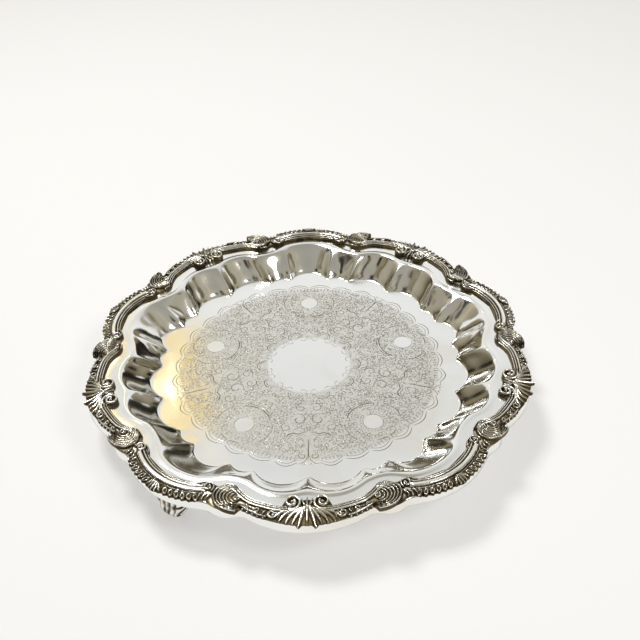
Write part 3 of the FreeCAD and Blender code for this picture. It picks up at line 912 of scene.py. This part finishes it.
def lobe_band(relief):
    """Reeds and gadroons on circles about the lobe's own centre, with a small fluted crest."""
    along, across = relief.points.T
    place = polar(MEAN_RADIUS + across, np.abs(along) / STRIP_STEP) - polar(LOBE_CENTRE, LOBE_AXIS)
    reach = np.hypot(*place.T)
    turn = np.degrees(np.arctan2(place[:, 1], place[:, 0])) - LOBE_AXIS
    fade = ((np.abs(along) - 63) / 4).clip(0, 1) ** 0.5
    for middle, half_width, height, keel in ((50.2, 1.9, 3.5, 5.0), (47.2, 0.75, 2.8, 3.0),
                                             (45.5, 0.5, 2.1, 3.0), (52.9, 0.38, 2.5, 3.0)):
        ratio = np.abs(reach - middle) / half_width
        inside = (ratio < 1) & (fade > 0)
        relief.raise_to(inside, (height * fade * np.sqrt((1 - ratio ** keel).clip(0)))[inside])
    bead = np.round(turn / GADROON_PITCH)
    past = reach - GADROON_CIRCLE
    beside = (turn - bead * GADROON_PITCH + GADROON_LEAN * past) / (0.47 * GADROON_PITCH)
    ratio = beside ** 2 + (past / GADROON_HALF_LENGTH) ** 2
    inside = (ratio < 1) & (np.abs(bead) < 8) & (np.abs(along) > 66)
    dished = 3.5 * np.sqrt((1 - ratio).clip(0)) - 1.9 * (1 - ratio / 0.4).clip(0)
    relief.raise_to(inside, dished[inside])
    for index in range(3):
        root = STRIP_END - 0.9 * index
        tip = STRIP_END - 2.2 * index
        path = smooth_path([(root, 9.4), (tip + 0.2 * index, 13.0), (tip, 16.2 - 0.5 * index ** 2)], 8)
        for line in (path, path * (-1, 1) + (2 * STRIP_END, 0)):
            relief.ridge(line, 0.9, 4.4, end_height=3.2)


def border_heights(along, across):
    relief = Relief(along, across)
    for motif in (plate, palmette, s_scroll, foliage, fan_shell, lobe_scroll, lobe_band):
        motif(relief)
    fall = 1 - 0.22 * ((across - 5) / 10).clip(0, 1)
    return relief.height.reshape(relief.shape) * fall


def smoothed(line, width):
    """A running mean that treats both ends of the half repeat as mirrors."""
    padded = np.pad(line, width // 2, mode="reflect")
    return np.convolve(padded, np.full(width, 1 / width), mode="valid")


def depth_below_crests(height):
    """How far each place lies below its surroundings: 0 on the crests, 1 in the hollows; the cast metal
    paints it as shade and oxide.
    """
    crest = height
    for _ in range(CREST_REACH):
        padded = np.pad(crest, 1, mode="edge")
        crest = np.max([padded[2:, 1:-1], padded[:-2, 1:-1], padded[1:-1, 2:], padded[1:-1, :-2],
                        crest], axis=0)
    # Places under a nearby crest and low places get more painted shade and oxide.
    return (0.62 * (crest - height) + 0.34 * (2.4 - height)).clip(0, 1)


def border_grid():
    """Angles, radii, heights and hollows of half a repeat of the border."""
    angles = np.arange(0, LOBE_AXIS + ANGLE_STEP / 2, ANGLE_STEP)
    scan = np.arange(-10.0, 18.5, 0.1)
    along, across = np.meshgrid(angles * STRIP_STEP, scan, indexing="ij")
    solid = border_heights(along, across) > 0.05
    inner = scan[solid.argmax(axis=1)]
    outer = scan[len(scan) - 1 - solid[:, ::-1].argmax(axis=1)]
    inner, outer = (smoothed(line, 9) for line in (inner, outer))
    share = np.linspace(0, 1, ACROSS)
    across = inner[:, None] + share * (outer - inner)[:, None]
    along = np.repeat((angles * STRIP_STEP)[:, None], ACROSS, axis=1)
    height = border_heights(along, across).clip(0.3)
    hollow = depth_below_crests(height)
    return angles, MEAN_RADIUS + across, height, hollow


def mount(name, angles, radii, heights, hollows, node, turn, hand=1):
    """One cast mount: its relief, its edges and a flat back on the flange."""
    rows, columns = heights.shape
    flat = polar(1.0, hand * angles + turn)[:, None] * radii[..., None]
    top = np.concatenate([flat, (RIM + heights)[..., None]], axis=-1).reshape(-1, 3)
    back = flat[:, [0, -1]].reshape(-1, 2)
    back = np.column_stack([back, np.full(len(back), RIM)])
    grid = np.arange(rows * columns).reshape(rows, columns)
    under = np.arange(rows * 2).reshape(rows, 2) + rows * columns

    def strip(a, b):
        return np.column_stack([a[:-1], a[1:], b[1:], b[:-1]]).tolist()

    faces = np.stack([grid[:-1, :-1], grid[1:, :-1], grid[1:, 1:], grid[:-1, 1:]], axis=-1)
    faces = faces.reshape(-1, 4).tolist()
    faces += strip(grid[:, 0], under[:, 0]) + strip(under[:, 0], under[:, 1])
    faces += strip(under[:, 1], grid[:, -1])
    for end in (0, -1):
        faces.append(grid[end].tolist() + [int(under[end, 1]), int(under[end, 0])])
    item = new_object(name, np.vstack([top, back]), faces, MATERIALS["cast"])
    # The flat back and edges get a fixed share of painted shade and oxide.
    store(item.data, "hollow", np.concatenate([hollows.ravel(), np.full(len(back), 0.6)]))
    weld(item)
    item.data.set_sharp_from_angle(angle=math.radians(62))
    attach(item, "root")
    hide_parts(node)


def border():
    """Cut the border into its mounts and set them round the rim."""
    angles, radii, heights, hollows = border_grid()

    def stretch(first, last):
        rows = slice(round(first / ANGLE_STEP), round(last / ANGLE_STEP) + 1)
        return angles[rows], radii[rows], heights[rows], hollows[rows]

    def doubled(part, axis):
        """Add the mirror image of a stretch that starts or ends on an axis."""
        mirrored = [2 * axis - part[0]] + list(part[1:])
        first, last = (mirrored, part) if axis == 0 else (part, mirrored)
        flip = slice(None, 0, -1) if axis == 0 else slice(-2, None, -1)
        return [np.concatenate([a[flip], b]) if axis == 0 else np.concatenate([a, b[flip]])
                for a, b in zip(first, last)]

    crown = doubled(stretch(0, PALMETTE_END), 0)
    lobe = doubled(stretch(SHELL_END, LOBE_AXIS), LOBE_AXIS)
    scroll = stretch(PALMETTE_END, SCROLL_END)
    shell = stretch(SCROLL_END, SHELL_END)
    for repeat in range(REPEATS):
        turn = FIRST_PALMETTE + repeat * 2 * LOBE_AXIS
        number = repeat + 1
        mount(f"cast_palmette_{number}", *crown, f"palmette_{number}", turn)
        mount(f"cast_lobe_border_{number}", *lobe, f"lobe_border_{number}", turn)
        for side, hand in (("right", 1), ("left", -1)):
            mount(f"cast_s_scroll_{number}_{side}", *scroll, f"s_scroll_border_{number}_{side}",
                  turn, hand)
            mount(f"cast_fan_shell_{number}_{side}", *shell, f"fan_shell_{number}_{side}", turn, hand)


# ---------------------------------------------------------------- the feet

FOOT_LEVELS = 64
FOOT_AROUND = 120
TOE_RADIUS = 7.5
TOE_SWING = 0.8
FOOT_INSET = 5.5
PLATE_GAUGE = 1.5
RING_PITCH = 3.6
# The foot's number, its radius and its angle; the front left one is under a lobe.
FEET = [(1, 154.4, -126), (2, 149.5, -6), (3, 149.5, 114)]
# Height, outer reach, inner reach and half width of the foot's stem above its scroll.
STEM = [(12.5, 7.4, -5.0, 11.2), (17.0, 6.6, -4.0, 12.0), (22.0, 5.4, -2.6, 11.4),
        (28.0, 5.8, -1.0, 9.0), (33.8, 7.4, 0.6, 7.0)]


def foot_section(height):
    """Outer reach, inner reach and half width at a height, out from the scroll's own axis."""
    stem = [np.interp(height, [row[0] for row in STEM], [row[k] for row in STEM]) for k in (1, 2, 3)]
    half = math.sqrt(max(TOE_RADIUS ** 2 - (height - TOE_RADIUS) ** 2, 2.4 ** 2))
    toe = (half + TOE_SWING, -half, 4.4 + 6.8 * min(height / 12.5, 1) ** 0.7)
    share = min(max((height - 7.5) / 5.0, 0), 1)
    return [b + (a - b) * share for a, b in zip(stem, toe)]


def foot(number, centre_radius, angle):
    """A cast scroll foot: rings round the volute on its flanks and flutes down its face."""
    heights = RIM - GAUGE - PLATE_GAUGE
    heights = heights * (0.5 - 0.5 * np.cos(math.pi * np.linspace(0, 1, FOOT_LEVELS)))
    around_it = np.linspace(0, 2 * math.pi, FOOT_AROUND, endpoint=False)
    cosine, sine = np.cos(around_it), np.sin(around_it)
    points, hollows = [], []
    for height in heights:
        outer, inner, half_width = foot_section(height)
        middle, half_depth = (outer + inner) / 2, (outer - inner) / 2
        out = middle + half_depth * np.sign(cosine) * np.abs(cosine) ** 0.62
        beside = half_width * np.sign(sine) * np.abs(sine) ** 0.62
        near_base = min(1, height / 2.0)
        ring = np.cos(2 * math.pi * np.hypot(out - TOE_SWING / 2, height - TOE_RADIUS) / RING_PITCH)
        ring = ring * (0.75 * near_base * (height < 22)) * np.abs(sine) ** 1.5
        flute = np.abs(np.cos(math.pi * 2.5 * beside / half_width)) ** 0.6 - 0.6
        flute = flute * 0.9 * near_base * cosine.clip(0) ** 0.5
        points.append(np.column_stack([out + flute, beside + np.sign(sine) * ring,
                                       np.full(FOOT_AROUND, height)]))
        # Troughs of the rings and flutes get more painted shade and oxide, crests less.
        hollows.append(0.42 - 0.8 * ring - 0.7 * flute)
    points = np.vstack(points)
    caps = np.array([[0, 0, heights[0]], [4.0, 0, heights[-1]]])
    points = np.vstack([points, caps])
    faces = ring_faces(FOOT_AROUND, FOOT_LEVELS).tolist()
    last = FOOT_AROUND * (FOOT_LEVELS - 1)
    for k in range(FOOT_AROUND):
        after = (k + 1) % FOOT_AROUND
        faces.append([len(points) - 2, after, k])
        faces.append([len(points) - 1, last + k, last + after])
    turn = math.radians(angle)
    placed = points.copy()
    reach = centre_radius - FOOT_INSET + points[:, 0]
    placed[:, 0] = reach * math.cos(turn) - points[:, 1] * math.sin(turn)
    placed[:, 1] = reach * math.sin(turn) + points[:, 1] * math.cos(turn)
    item = new_object(f"scroll_foot_{number}", placed, faces, MATERIALS["cast"])
    # The end caps get a fixed share of painted shade and oxide.
    store(item.data, "hollow", np.concatenate([np.concatenate(hollows), [0.5, 0.5]]).clip(0, 1))
    weld(item)
    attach(item, "root")
    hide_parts(f"foot_{number}")


def feet():
    for number, centre_radius, angle in FEET:
        foot(number, centre_radius, angle)
        plate_item = bpy.data.objects[f"foot_plate_{number}"]
        for slot in plate_item.material_slots:
            slot.material = MATERIALS["cast"]


MATERIALS = {}

camera()
studio()
MATERIALS["cast"] = cast_silver()
tray_body()
border()
feet()
